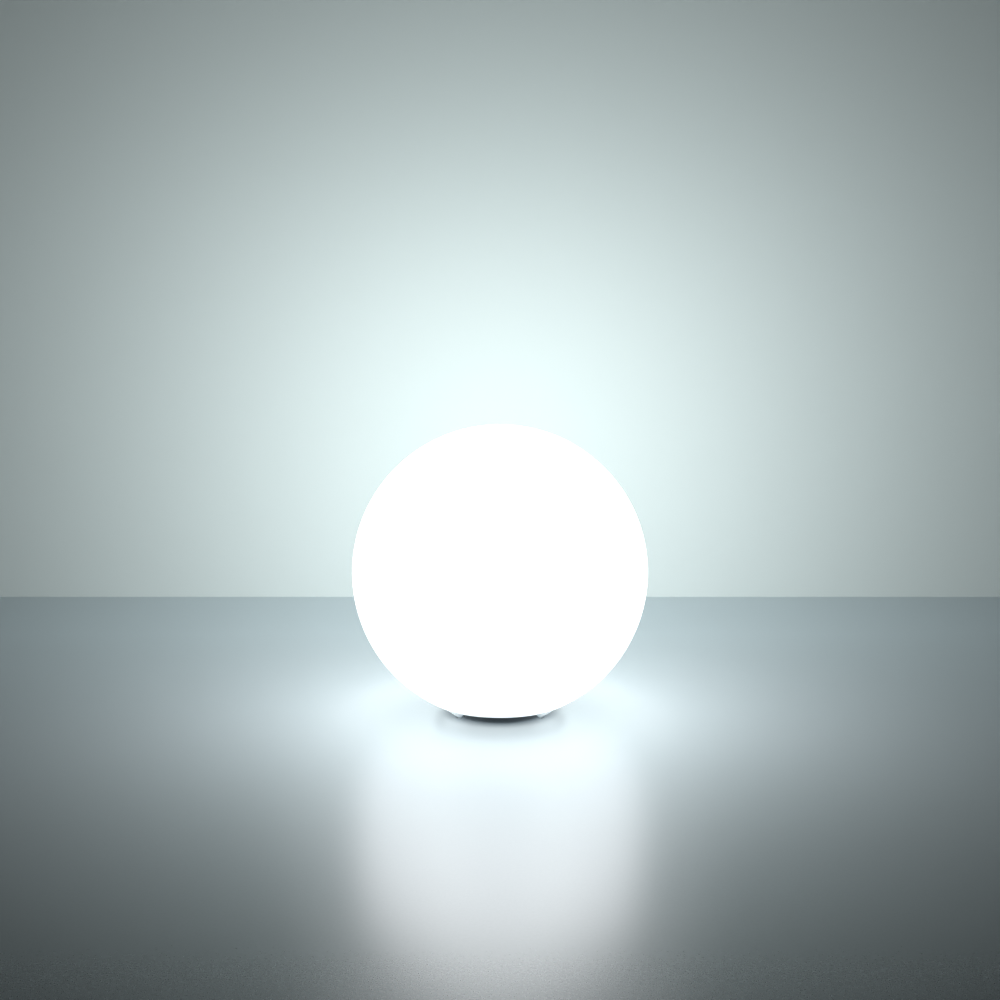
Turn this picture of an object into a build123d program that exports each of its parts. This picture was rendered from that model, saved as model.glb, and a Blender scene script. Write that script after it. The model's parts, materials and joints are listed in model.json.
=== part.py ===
from build123d import *
import os
from math import cos, radians, sin, sqrt

# Floating pool light: a white globe on a twist-in light module that carries the battery,
# the LED board and the feet.  Millimetres, +Z up, origin on the floor under the centre of
# the globe, front towards -Y.

# ---- driving dimensions ------------------------------------------------------------------
globe_radius = 150.0
globe_wall = 3.0
foot_height = 11.0          # floor to the flat underside
part_gap = 0.3              # between pieces that come apart or are dropped in
screw_fit = 0.05            # radial, shank in its hole

# battery pack, which sets how wide the module is
cell_radius = 9.25
cell_length = 65.0
cell_clearance = 0.35       # each side of a cell
tab_thickness = 0.3
cradle_wall = 2.0
saddle_thickness = 2.3      # between the cells' crowns and the deck

# housing
housing_wall = 2.5
deck_thickness = 2.5
plate_thickness = 3.0
boss_radius = 3.6           # housing bosses for the plate and dome screws
spreader_boss_radius = 3.0
boss_spacing = 1.4

# twist lock
neck_gap = 0.4
seal_section = 3.0
seal_gap = 0.1
lug_reach = 3.0
lug_thickness = 4.8
lug_half_angle = 11.0
slot_half_angle = 13.0
twist_angle = 30.0
lip_thickness = 4.0
collar_wall = 3.6
collar_cap = 3.5
opening_gap = 1.0
flat_margin = 9.0           # opening edge out to where the ball begins
flange_thickness = 3.0
neck_gasket_thickness = 1.0

# recess under the module, with the button and the charging port
well_radius = 26.0
well_depth = 5.0
well_wall = 3.0
button_offset = 12.0
button_radius = 7.0
button_thickness = 2.0
button_standoff = 2.0       # button head to the recess roof
button_travel = 1.2
stem_radius = 3.0
port_offset = -12.0
port_radius = 5.0
port_hole_radius = 3.3
web_thickness = 1.0
stopper_thickness = 2.0
stopper_flange_radius = 7.5
stopper_pull = 9.0
light_offset = 15.0

# boards
board_radius = 30.0
board_thickness = 1.6
jack_height = 7.2
port_seal_thickness = 0.8
post_radius = 2.8
post_edge = 2.2             # post to the edge of the recess boss that it stands on
small_head_height = 1.6
strap_gap = 0.7
strap_thickness = 0.8
strap_width = 14.0
ballast_thickness = 6.0

# light engine on top of the deck
spreader_thickness = 3.0
led_board_radius = 32.0
led_board_screw_circle = 27.5
led_size = 5.0
led_height = 1.6
dome_flange_thickness = 2.5
dome_height = 21.5
dome_wall = 2.0
reflector_height = 5.0

# feet: narrow at the sole, leaning out under the globe's rim as they rise
foot_inset = 3.7            # middle of the sole inside the housing's radius
foot_sole_length = 11.4
foot_sole_depth = 3.8       # radially
foot_end_flare = 7.3        # each end, from sole to root
foot_inner_flare = 5.0
foot_rim_inset = 2.5        # top outer edge inside the edge of the globe's flat
foot_screw_inset = 5.4      # screw inside the housing's radius
pad_thickness = 1.5
pad_inset = 0.3

# ---- worked-out sizes --------------------------------------------------------------------
cell_y = cell_radius + cell_clearance
cradle_half_length = cell_length / 2 + tab_thickness + 0.4 + cradle_wall
cradle_half_width = cell_y + cell_radius - 1.0
spreader_circle = cradle_half_length + 0.8 + spreader_boss_radius
boss_circle = spreader_circle + spreader_boss_radius + boss_spacing + boss_radius
housing_inner = boss_circle + boss_radius - 0.1
housing_radius = housing_inner + housing_wall

plate_radius = housing_radius + seal_section
opening_radius = plate_radius + opening_gap
flat_radius = opening_radius + flat_margin
globe_centre = foot_height + sqrt(globe_radius**2 - flat_radius**2)
inner_radius = globe_radius - globe_wall

plate_bottom = foot_height
plate_top = plate_bottom + plate_thickness
post_circle = well_radius + well_wall - post_radius - post_edge
well_roof = plate_bottom + well_depth
well_top = well_roof + well_wall
board_bottom = well_top + port_seal_thickness + jack_height
board_top = board_bottom + board_thickness
strap_bottom = board_top + small_head_height + strap_gap
cell_z = strap_bottom + strap_thickness + cell_radius
deck_bottom = cell_z + cell_radius + saddle_thickness
deck_top = deck_bottom + deck_thickness

bore_radius = housing_radius + neck_gap
lug_radius = housing_radius + lug_reach
groove_radius = lug_radius + neck_gap
collar_radius = groove_radius + collar_wall
neck_screw_circle = opening_radius + flat_margin / 2
flange_radius = neck_screw_circle + 3.0
rebate_top = plate_top + seal_section + seal_gap
lip_top = rebate_top + lip_thickness
groove_top = lip_top + part_gap + lug_thickness + part_gap
collar_top = groove_top + collar_cap
flange_bottom = foot_height + globe_wall + neck_gasket_thickness
flange_top = flange_bottom + flange_thickness

dome_flange_radius = housing_radius - 1.5
dome_outer = boss_circle - 3.0
dome_inner = dome_outer - dome_wall
spreader_radius = dome_inner - 0.5
spreader_top = deck_top + spreader_thickness
pad_top = spreader_top + 0.5
led_board_top = pad_top + board_thickness
dome_shoulder = deck_top + dome_flange_thickness

button_top = well_roof - button_standoff
button_bottom = button_top - button_thickness
clip_bottom = well_top + screw_fit
clip_thickness = 0.8
stem_top = clip_bottom + clip_thickness + 0.5
plunger_bottom = stem_top + screw_fit
switch_bottom = board_bottom - 3.5
foot_middle = housing_radius - foot_inset
foot_screw_circle = housing_radius - foot_screw_inset

plate_screw_angles = [60 * i for i in range(6)]
neck_screw_angles = [60 * i for i in range(6)]
foot_angles = [-30, 90, 210]
lug_angles = [-90, 30, 150]
spreader_screw_angles = [0, 120, 240]
led_screw_angles = [60, 180, 300]
post_angles = [45, 135, 225, 315]


# ---- small tools -------------------------------------------------------------------------
def polar(radius, angle):
    return radius * cos(radians(angle)), radius * sin(radians(angle))


def rod(radius, low, high, at=(0, 0)):
    bottom = (Align.CENTER, Align.CENTER, Align.MIN)
    return Pos(at[0], at[1], low) * Cylinder(radius, high - low, align=bottom)


def block(width, depth, low, high, at=(0, 0)):
    bottom = (Align.CENTER, Align.CENTER, Align.MIN)
    return Pos(at[0], at[1], low) * Box(width, depth, high - low, align=bottom)


def ring(inner, outer, low, high, at=(0, 0)):
    return rod(outer, low, high, at) - rod(inner, low - 1, high + 1, at)


def turned(points):
    """A solid of revolution about Z from (radius, height) points."""
    outline = Polyline(*[(r, 0, z) for r, z in points], close=True)
    return revolve(make_face(outline), Axis.Z)


def sector(inner, outer, half_angle, middle, height=0.0, corner=0.0):
    """A flat piece of a ring, square to Z at the given height."""
    low, high = middle - half_angle, middle + half_angle
    sides = [
        ThreePointArc(polar(outer, low), polar(outer, middle), polar(outer, high)),
        Line(polar(outer, high), polar(inner, high)),
        ThreePointArc(polar(inner, high), polar(inner, middle), polar(inner, low)),
        Line(polar(inner, low), polar(outer, low)),
    ]
    flat = make_face(sides)
    if corner:
        flat = fillet(flat.vertices(), corner)
    return Pos(0, 0, height) * flat


def sector_block(inner, outer, half_angle, middle, low, high):
    return extrude(sector(inner, outer, half_angle, middle, low), high - low)


def copies(shape_at, places):
    """One part made of a separate solid at each place."""
    return Compound(children=[shape_at(place) for place in places])


def pan_screw(at, seat, shank, length, head, height, down=True):
    """Pan head with a cross recess. The head stands on the seat, the shank goes the other way."""
    way = 1 if down else -1
    top = seat + way * height
    body = rod(head, min(seat, top), max(seat, top), at)
    body = chamfer(body.faces().sort_by(Axis.Z)[-1 if down else 0].edges(), height * 0.35)
    tip = seat - way * length
    body += rod(shank, min(seat, tip), max(seat, tip), at)
    return body - cross_recess(at, top, way, head, height * 0.55)


def flush_screw(at, face, shank, length, head, height, down=True):
    """Countersunk head, flush with the face."""
    way = 1 if down else -1
    body = countersink(at, face, shank, head, height, down)
    tip = face - way * length
    body += rod(shank, min(face, tip), max(face, tip), at)
    return body - cross_recess(at, face, way, head, height * 0.6)


def countersink(at, face, shank, head, height, down=True):
    low, high = (shank, head) if down else (head, shank)
    bottom = face - height if down else face
    cone = Cone(low, high, height, align=(Align.CENTER, Align.CENTER, Align.MIN))
    return Pos(at[0], at[1], bottom) * cone


def cross_recess(at, top, way, head, depth):
    low, high = min(top, top - way * depth), max(top, top - way * depth)
    arm, thick = head * 1.15, head * 0.28
    return block(arm, thick, low, high, at) + block(thick, arm, low, high, at)


def wire(points, radius, share=0.45):
    """A round lead along straight runs joined by arcs, each as large as its two runs allow."""
    runs = [(Vector(b) - Vector(a)) for a, b in zip(points, points[1:])]
    radii = []
    for before, after in zip(runs, runs[1:]):
        turn = radians(before.get_angle(after))
        radii.append(share * min(before.length, after.length) / (sin(turn / 2) / cos(turn / 2)))
    path = FilletPolyline(*points, radius=radii)
    start = Plane(origin=path @ 0, z_dir=path % 0)
    return sweep(start * Circle(radius), path=path)


# ---- globe -------------------------------------------------------------------------------
plate_screw = dict(shank=1.5, length=10.0, head=3.0, height=1.7)
neck_screw = dict(shank=1.5, length=10.5, head=3.0, height=1.7)


def globe_shell():
    inner_flat = sqrt(inner_radius**2 - (globe_centre - foot_height - globe_wall) ** 2)
    low_outer = arc_middle(globe_radius, flat_radius)
    low_inner = arc_middle(inner_radius, inner_flat)
    profile = [
        ThreePointArc(
            (flat_radius, 0, foot_height), low_outer, (0, 0, globe_centre + globe_radius)
        ),
        Line((0, 0, globe_centre + globe_radius), (0, 0, globe_centre + inner_radius)),
        ThreePointArc(
            (0, 0, globe_centre + inner_radius),
            low_inner,
            (inner_flat, 0, foot_height + globe_wall),
        ),
        Line((inner_flat, 0, foot_height + globe_wall), (opening_radius, 0, foot_height + globe_wall)),
        Line((opening_radius, 0, foot_height + globe_wall), (opening_radius, 0, foot_height)),
        Line((opening_radius, 0, foot_height), (flat_radius, 0, foot_height)),
    ]
    shell = revolve(make_face(profile), Axis.Z)
    rim = shell.edges().filter_by(GeomType.CIRCLE).group_by(Axis.Z)[0].sort_by(SortBy.RADIUS)[-1]
    shell = fillet(rim, 2.5)
    for angle in neck_screw_angles:
        at = polar(neck_screw_circle, angle)
        shell -= neck_screw_hole(at)
    return shell


def arc_middle(radius, low_radius):
    """The point of the globe's section half way round from its low edge to its crown."""
    drop = sqrt(radius**2 - low_radius**2)
    middle = Vector(low_radius, 0, radius - drop).normalized() * radius
    return (middle.X, 0, globe_centre + middle.Z)


def neck_screw_hole(at):
    hole = rod(neck_screw["shank"] + screw_fit, foot_height - 1, foot_height + 30, at)
    flare = countersink(
        at,
        foot_height,
        neck_screw["shank"] + screw_fit,
        neck_screw["head"] + screw_fit,
        neck_screw["height"],
        down=False,
    )
    return hole + flare


def neck_ring():
    body = turned(
        [
            (groove_radius, flange_bottom),
            (flange_radius, flange_bottom),
            (flange_radius, flange_top),
            (collar_radius, flange_top),
            (collar_radius, collar_top),
            (bore_radius, collar_top),
            (bore_radius, rebate_top),
            (groove_radius, rebate_top),
        ]
    )
    boss_top = foot_height + neck_screw["length"] + 2.0
    for angle in neck_screw_angles:
        at = polar(neck_screw_circle, angle)
        body += rod(3.0, flange_bottom, boss_top, at)
        body -= rod(
            neck_screw["shank"] + screw_fit, flange_bottom - 1, boss_top - 1.5, at
        )
    for angle in lug_angles:
        sweep_half = slot_half_angle + twist_angle / 2
        body -= sector_block(
            bore_radius - 1,
            groove_radius,
            sweep_half,
            angle + twist_angle / 2,
            lip_top,
            groove_top,
        )
        body -= sector_block(
            bore_radius - 1, groove_radius, slot_half_angle, angle, flange_bottom - 1, lip_top + 1
        )
    return body


def neck_gasket():
    gasket = ring(
        opening_radius, flange_radius, foot_height + globe_wall, flange_bottom
    )
    for angle in neck_screw_angles:
        gasket -= rod(
            neck_screw["shank"] + screw_fit,
            foot_height,
            flange_bottom + 1,
            polar(neck_screw_circle, angle),
        )
    return gasket


def neck_screws():
    return copies(
        lambda angle: flush_screw(
            polar(neck_screw_circle, angle), foot_height, down=False, **neck_screw
        ),
        neck_screw_angles,
    )


def globe_seal():
    minor = seal_section / 2 - seal_gap
    major = housing_radius + seal_section / 2
    return Pos(0, 0, plate_top + seal_section / 2) * Torus(major, minor)


# ---- module housing ----------------------------------------------------------------------
dome_screw = dict(shank=1.5, length=9.0, head=2.8, height=1.9)
spreader_screw = dict(shank=1.25, length=8.0, head=2.2, height=1.4)
strap_screw = dict(shank=1.25, length=8.0, head=2.4, height=1.6)
strap_screw_y = cell_y + cell_radius + strap_thickness + 7.0
strap_foot_z = cell_z + 1.0
lead_hole = (-12.0, strap_screw_y - 0.5)


def base_housing():
    body = rod(housing_radius, plate_top, deck_top)
    body -= rod(housing_inner, plate_top - 1, deck_bottom)
    for angle in lug_angles:
        body += sector_block(
            housing_radius - 1,
            lug_radius,
            lug_half_angle,
            angle,
            lip_top + part_gap,
            lip_top + part_gap + lug_thickness,
        )
    body = chamfer(body.edges().filter_by(GeomType.CIRCLE).group_by(Axis.Z)[-1], 0.8)
    for angle in plate_screw_angles:
        at = polar(boss_circle, angle)
        body += rod(boss_radius, plate_top, deck_bottom, at)
        low_hole = plate_screw["length"] - plate_thickness + 1.5
        body -= rod(plate_screw["shank"] + screw_fit, plate_top - 1, plate_top + low_hole, at)
        high_hole = dome_screw["length"] - dome_flange_thickness + 1.5
        body -= rod(dome_screw["shank"] + screw_fit, deck_top - high_hole, deck_top + 1, at)
    for angle in spreader_screw_angles:
        at = polar(spreader_circle, angle)
        body += rod(spreader_boss_radius, deck_bottom - 6.0, deck_bottom, at)
        low = spreader_top - spreader_screw["length"] - 1.0
        body -= rod(spreader_screw["shank"] + screw_fit, low, deck_top + 1, at)
    for side in (1, -1):
        at = (0, side * strap_screw_y)
        body += rod(3.5, strap_foot_z + strap_thickness, deck_bottom, at)
        high = strap_foot_z + strap_screw["length"] + 1.0
        body -= rod(strap_screw["shank"] + screw_fit, strap_foot_z, high, at)
    return body - rod(2.6, deck_bottom - 1, deck_top + 1, lead_hole)


def base_plate():
    plate = rod(plate_radius, plate_bottom, plate_top)
    plate = chamfer(plate.faces().sort_by(Axis.Z)[0].edges(), 0.6)
    plate += rod(well_radius + well_wall, plate_bottom, well_top)
    plate -= rod(well_radius, plate_bottom - 1, well_roof)
    plate -= ring(housing_inner + 0.3, housing_radius - 0.3, plate_top - 1.0, plate_top + 1)
    for angle in post_angles:
        at = polar(post_circle, angle)
        plate += rod(post_radius, well_top, board_bottom, at)
        plate -= rod(board_screw["shank"] + screw_fit, board_bottom - 6.0, board_bottom + 1, at)
    for angle in plate_screw_angles:
        at = polar(boss_circle, angle)
        plate -= rod(plate_screw["shank"] + screw_fit, plate_bottom - 1, plate_top + 1, at)
        plate -= countersink(
            at,
            plate_bottom,
            plate_screw["shank"] + screw_fit,
            plate_screw["head"] + screw_fit,
            plate_screw["height"],
            down=False,
        )
    for angle in foot_angles:
        at = polar(foot_screw_circle, angle)
        plate -= rod(foot_screw["shank"] + screw_fit, plate_bottom - 1, plate_top + 1, at)
    button = (0, button_offset)
    plate -= rod(stem_radius + 0.15, well_roof - 1, well_top + 1, button)
    plate -= rod(stem_radius + 3.2, well_roof - 1, well_top - web_thickness, button)
    port = (0, port_offset)
    plate -= rod(port_hole_radius, well_roof - 1, well_top + 1, port)
    plate -= rod(port_radius, well_roof - 1, well_top - web_thickness, port)
    return plate - rod(1.5 + screw_fit, well_roof - 1, well_top + 1, (light_offset, 0))


def plate_gasket():
    return ring(
        housing_inner + 0.3 + screw_fit,
        housing_radius - 0.3 - screw_fit,
        plate_top - 1.0,
        plate_top,
    )


def plate_screws():
    return copies(
        lambda angle: flush_screw(
            polar(boss_circle, angle), plate_bottom, down=False, **plate_screw
        ),
        plate_screw_angles,
    )


def ballast_ring():
    body = ring(
        well_radius + well_wall + part_gap,
        boss_circle - boss_radius - 0.4,
        plate_top,
        plate_top + ballast_thickness,
    )
    return chamfer(body.edges().filter_by(GeomType.CIRCLE).group_by(Axis.Z)[-1], 0.8)


# ---- feet --------------------------------------------------------------------------------
foot_screw = dict(shank=1.25, length=8.0, head=2.3, height=1.6)


def half_angle(length):
    """Half the angle that a length takes up round the circle of the soles."""
    return length / 2 / radians(1) / foot_middle


def foot(angle):
    """A buttress: thin and short at the sole, leaning out to just inside the globe's rim."""
    inner, outer = foot_middle - foot_sole_depth / 2, foot_middle + foot_sole_depth / 2
    root_inner = inner - foot_inner_flare
    half = half_angle(foot_sole_length + 2 * foot_end_flare)
    sole = sector(inner, outer, half_angle(foot_sole_length), angle, pad_thickness, corner=1.6)
    root = sector(
        root_inner,
        flat_radius - foot_rim_inset,
        half,
        angle,
        foot_height - part_gap,
        corner=4.0,
    )
    body = loft([sole, root], ruled=True)
    heel = sector(root_inner, plate_radius - 1.0, half, angle, foot_height - part_gap, corner=4.0)
    body += extrude(heel, part_gap)
    at = polar(foot_screw_circle, angle)
    hole = foot_screw["length"] - plate_thickness + 1.0
    body -= rod(foot_screw["shank"] + screw_fit, foot_height - hole, foot_height + 1, at)
    return body


def foot_pad(angle):
    depth = foot_sole_depth / 2 - pad_inset
    half = half_angle(foot_sole_length - 2 * pad_inset)
    pad = sector(foot_middle - depth, foot_middle + depth, half, angle, 0, corner=1.3)
    pad = extrude(pad, pad_thickness)
    return chamfer(pad.faces().sort_by(Axis.Z)[0].edges(), 0.3)


def feet():
    return copies(foot, foot_angles)


def foot_pads():
    return copies(foot_pad, foot_angles)


def foot_screws():
    return copies(
        lambda angle: pan_screw(polar(foot_screw_circle, angle), plate_top, **foot_screw),
        foot_angles,
    )


# ---- button, switch and charging port ----------------------------------------------------
def power_button():
    at = (0, button_offset)
    head = rod(button_radius, button_bottom, button_top, at)
    head = fillet(head.faces().sort_by(Axis.Z)[0].edges(), 0.9)
    dish = Pos(0, button_offset, button_bottom - 24.4) * Sphere(25.0)
    stem = rod(stem_radius, button_top, stem_top, at)
    groove = ring(stem_radius - 0.6, stem_radius + 1, clip_bottom, clip_bottom + clip_thickness, at)
    return head - dish + (stem - groove)


def button_clip():
    at = (0, button_offset)
    clip = ring(
        stem_radius - 0.6 + screw_fit,
        stem_radius + 1.9,
        clip_bottom + screw_fit,
        clip_bottom + clip_thickness - screw_fit,
        at,
    )
    return clip - block(3.0, 6.0, clip_bottom - 1, clip_bottom + 2, (0, button_offset + 4.5))


def button_spring():
    """Return spring round the stem, between the recess web and the button's head."""
    gauge = 0.25
    low, high = button_top + gauge + 0.05, well_top - web_thickness - gauge - 0.05
    coil = Helix(pitch=(high - low) / 3.5, height=high - low, radius=stem_radius + 1.9)
    start = Plane(origin=coil @ 0, z_dir=coil % 0)
    return Pos(0, button_offset, low) * sweep(start * Circle(gauge), path=coil, is_frenet=True)


def button_seal():
    section = 0.5
    centre = well_top - web_thickness - section - 0.05
    return Pos(0, button_offset, centre) * Torus(stem_radius + section + 0.05, section)


def tact_switch():
    at = (0, button_offset)
    body = block(6.2, 6.2, switch_bottom, board_bottom, at)
    return body - rod(1.9, switch_bottom - 1, switch_bottom + button_travel + 2.0, at)


def switch_plunger():
    return rod(1.75, plunger_bottom, switch_bottom + 1.6, (0, button_offset))


def port_stopper():
    at = (0, port_offset)
    low = well_roof - stopper_thickness
    flange = rod(stopper_flange_radius, low, well_roof - screw_fit, at)
    tab = block(5.0, 7.0, low, low + 1.2, (-stopper_flange_radius - 1.2, port_offset))
    flange += fillet(tab.edges().filter_by(Axis.Z), 1.2)
    flange = fillet(flange.faces().sort_by(Axis.Z)[0].edges(), 0.4)
    plug = rod(port_radius - 0.08, well_roof - screw_fit, well_top - web_thickness - 0.1, at)
    nose = ring(1.3, 2.6, well_top - web_thickness - 0.1, well_top + 3.0, at)
    return flange + plug + nose


def port_seal():
    return ring(port_hole_radius + 0.1, 4.7, well_top, well_top + port_seal_thickness, (0, port_offset))


def charge_jack():
    low = well_top + port_seal_thickness
    body = block(12.0, 9.5, low, board_bottom, (0, port_offset))
    body = chamfer(body.edges().filter_by(Axis.Z), 0.8)
    return body - rod(2.9, low - 1, board_bottom - 0.8, (0, port_offset))


def jack_pin():
    low = well_top + port_seal_thickness + 0.7
    pin = rod(1.05, low, board_bottom - 0.8, (0, port_offset))
    return chamfer(pin.faces().sort_by(Axis.Z)[0].edges(), 0.4)


def charge_led():
    return block(3.0, 2.0, board_bottom - 1.0, board_bottom, (light_offset, 0))


def charge_light_pipe():
    at = (light_offset, 0)
    body = rod(1.5, well_roof - 0.4, board_bottom - 1.3, at)
    body = chamfer(body.faces().sort_by(Axis.Z)[0].edges(), 0.3)
    return body + rod(2.4, well_top, well_top + 1.0, at)


# ---- control board and battery -----------------------------------------------------------
board_screw = dict(shank=1.25, length=6.6, head=2.2, height=small_head_height)
connector_y = board_radius - 6.5
connector_xs = (-10.0, 10.0)
connector_height = 5.0


def control_board():
    board = rod(board_radius, board_bottom, board_top)
    for angle in post_angles:
        at = polar(post_circle, angle)
        board -= rod(board_screw["shank"] + screw_fit, board_bottom - 1, board_top + 1, at)
    return board


def board_components():
    """Inductor, capacitor, controller and charger chips on the board's underside."""
    low = board_bottom
    post, _ = polar(post_circle, 45)
    coil = ring(1.2, 4.5, low - 4.5, low, (-post, -1.0))
    can = rod(3.2, low - 6.5, low, (5.5 - post, post - 6.5))
    can = fillet(can.faces().sort_by(Axis.Z)[0].edges(), 0.6)
    controller = block(7.0, 7.0, low - 1.2, low, (post - 3.5, 8.0 - post))
    charger = block(4.0, 5.0, low - 1.2, low, (post - 5.5, post - 9.0))
    driver = block(3.0, 3.0, low - 0.9, low, (-6.5, 0.0))
    return Compound(children=[coil, can, controller, charger, driver])


def connector(x):
    at = (x, connector_y)
    body = block(6.0, 4.4, board_top, board_top + connector_height, at)
    return body - block(4.6, 3.0, board_top + 1.2, board_top + connector_height + 1, at)


def board_connectors():
    return copies(connector, connector_xs)


def board_screws():
    return copies(
        lambda angle: pan_screw(polar(post_circle, angle), board_top, **board_screw),
        post_angles,
    )


def battery_cells():
    def cell(y):
        along = Pos(0, y, cell_z) * Rot(0, 90, 0)
        can = fillet(Cylinder(cell_radius, cell_length).edges(), 0.8)
        return along * can

    return copies(cell, (-cell_y, cell_y))


def battery_tabs():
    def tab(side):
        x = side * (cell_length / 2 + tab_thickness / 2)
        strip = Box(tab_thickness, 2 * cell_y + 8.0, 7.0)
        strip = fillet(strip.edges().filter_by(Axis.X), 2.5)
        return Pos(x, 0, cell_z) * strip

    return copies(tab, (-1, 1))


def battery_cradle():
    """Saddle between the cells and the deck, with a wall past each end of the cells."""
    low = cell_z + 4.0
    body = block(2 * cradle_half_length, 2 * cradle_half_width, low, deck_bottom)
    body -= block(2 * (cradle_half_length - cradle_wall), 80.0, low - 1, cell_z + cell_radius)
    saddle = block(46.0, 2 * cradle_half_width, low, deck_bottom)
    for y in (-cell_y, cell_y):
        saddle -= Pos(0, y, cell_z) * Rot(0, 90, 0) * Cylinder(cell_radius + 0.1, cell_length)
    body += saddle
    return body - block(strap_width + 1, 80.0, cell_z - 20, cell_z + cell_radius - 1.0)


def battery_strap():
    """Spring-steel band under both cells, with a foot each side screwed up to the deck bosses."""
    top = strap_bottom + strap_thickness
    half = cell_y + cell_radius + 0.5
    foot_end = strap_screw_y + 4.0
    outer = [
        (-foot_end, strap_foot_z + strap_thickness),
        (-foot_end, strap_foot_z),
        (-half - strap_thickness, strap_foot_z),
        (-half - strap_thickness, strap_bottom),
        (half + strap_thickness, strap_bottom),
        (half + strap_thickness, strap_foot_z),
        (foot_end, strap_foot_z),
        (foot_end, strap_foot_z + strap_thickness),
        (half, strap_foot_z + strap_thickness),
        (half, top),
        (-half, top),
        (-half, strap_foot_z + strap_thickness),
    ]
    outline = Polyline(*[(0, y, z) for y, z in outer], close=True)
    band = extrude(make_face(outline), strap_width / 2, dir=(1, 0, 0), both=True)
    for side in (1, -1):
        at = (0, side * strap_screw_y)
        band -= rod(strap_screw["shank"] + screw_fit, strap_foot_z - 1, strap_foot_z + 3, at)
    return band


def strap_screws():
    return copies(
        lambda side: pan_screw(
            (0, side * strap_screw_y), strap_foot_z, down=False, **strap_screw
        ),
        (-1, 1),
    )


def battery_leads():
    """Two leads from the end of the pack round to the first connector."""
    x = cell_length / 2 + tab_thickness + 1.0
    end_x, end_y = connector_xs[1], connector_y
    top = board_top + connector_height

    def lead(side):
        shift = 1.1 * side
        return wire(
            [
                (x + 6, cell_y + 4 + shift, cell_z - 6),
                (x + 6, cell_y + 8 + shift, cell_z - 6.5),
                (x - 2, end_y + 9 + shift, cell_z - 5.5),
                (end_x + 10, end_y + 10 + shift, cell_z - 5),
                (end_x + 2 + shift, end_y + 6, cell_z - 4.5),
                (end_x + shift, end_y, top + 4),
                (end_x + shift, end_y, board_top + 1.4),
            ],
            0.7,
        )

    return copies(lead, (-1, 1))


# ---- light engine ------------------------------------------------------------------------
led_board_screw = dict(shank=1.25, length=4.2, head=2.1, height=1.4)
led_places = [polar(10.0, 45 + 90 * i) for i in range(4)]
led_places += [polar(21.5, 22.5 + 45 * i) for i in range(8)]


def heat_spreader():
    plate = rod(spreader_radius, deck_top, spreader_top)
    for angle in spreader_screw_angles:
        at = polar(spreader_circle, angle)
        plate -= rod(spreader_screw["shank"] + screw_fit, deck_top - 1, spreader_top + 1, at)
        plate -= countersink(
            at,
            spreader_top,
            spreader_screw["shank"] + screw_fit,
            spreader_screw["head"] + screw_fit,
            spreader_screw["height"],
        )
    for angle in led_screw_angles:
        at = polar(led_board_screw_circle, angle)
        plate -= rod(led_board_screw["shank"] + screw_fit, spreader_top - 2.6, spreader_top + 1, at)
    return plate - rod(2.6, deck_top - 1, spreader_top + 1, lead_hole)


def spreader_screws():
    return copies(
        lambda angle: flush_screw(polar(spreader_circle, angle), spreader_top, **spreader_screw),
        spreader_screw_angles,
    )


def board_blank(radius, low, high):
    """A disc with the LED board's screw holes and lead hole."""
    disc = rod(radius, low, high)
    for angle in led_screw_angles:
        at = polar(led_board_screw_circle, angle)
        disc -= rod(led_board_screw["shank"] + screw_fit, low - 1, high + 1, at)
    return disc - rod(2.6, low - 1, high + 1, lead_hole)


def thermal_pad():
    return board_blank(led_board_radius - 0.8, spreader_top, pad_top)


def led_board():
    return board_blank(led_board_radius, pad_top, led_board_top)


def led_board_screws():
    return copies(
        lambda angle: pan_screw(
            polar(led_board_screw_circle, angle), led_board_top, **led_board_screw
        ),
        led_screw_angles,
    )


def led_emitter(at):
    top = led_board_top + led_height
    body = block(led_size, led_size, led_board_top, top, at)
    return body - rod(led_size * 0.4, top - 0.5, top + 1, at)


def led_emitters():
    return copies(led_emitter, led_places)


def led_lenses():
    """Phosphor fill in each emitter's cup."""
    top = led_board_top + led_height
    return copies(lambda at: rod(led_size * 0.4 - 0.02, top - 0.5, top - 0.1, at), led_places)


def ir_receiver():
    body = block(5.0, 3.6, led_board_top, led_board_top + 5.5)
    eye = Pos(0, -1.2, led_board_top + 3.4) * Sphere(1.8)
    return fillet(body.edges().filter_by(Axis.Z), 0.6) + eye


def reflector():
    low, high = spreader_top, spreader_top + reflector_height
    inner, outer = led_board_radius + 0.6, dome_inner - 3.0
    return turned(
        [
            (inner, low),
            (inner + 2.0, low),
            (outer, high - 1.2),
            (outer, high),
            (outer - 1.0, high),
            (inner, low + 1.4),
        ]
    )


def dome_gasket():
    return ring(dome_inner + 0.6, dome_outer - 0.4, deck_top, deck_top + 1.0)


def half_egg(radius, height, low):
    """Upper half of an ellipsoid of revolution standing on the given height."""
    outline = [
        EllipticalCenterArc((0, 0), radius, height, arc_size=90),
        Line((0, height), (0, 0)),
        Line((0, 0), (radius, 0)),
    ]
    return Pos(0, 0, low) * revolve(Plane.XZ * make_face(outline), Axis.Z)


def diffuser_dome():
    flange = rod(dome_flange_radius, deck_top, dome_shoulder)
    flange = fillet(flange.faces().sort_by(Axis.Z)[-1].edges(), 0.6)
    body = flange + half_egg(dome_outer, dome_height, dome_shoulder)
    body -= half_egg(dome_inner, dome_height - dome_wall, dome_shoulder)
    body -= rod(dome_inner, deck_top - 1, dome_shoulder)
    body -= ring(dome_inner + 0.55, dome_outer - 0.35, deck_top - 1, deck_top + 1.0)
    for angle in plate_screw_angles:
        at = polar(boss_circle, angle)
        body -= rod(dome_screw["shank"] + screw_fit, deck_top - 1, dome_shoulder + 1, at)
        body -= rod(dome_screw["head"] + 0.2, dome_shoulder, dome_shoulder + 5, at)
    return body


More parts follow.
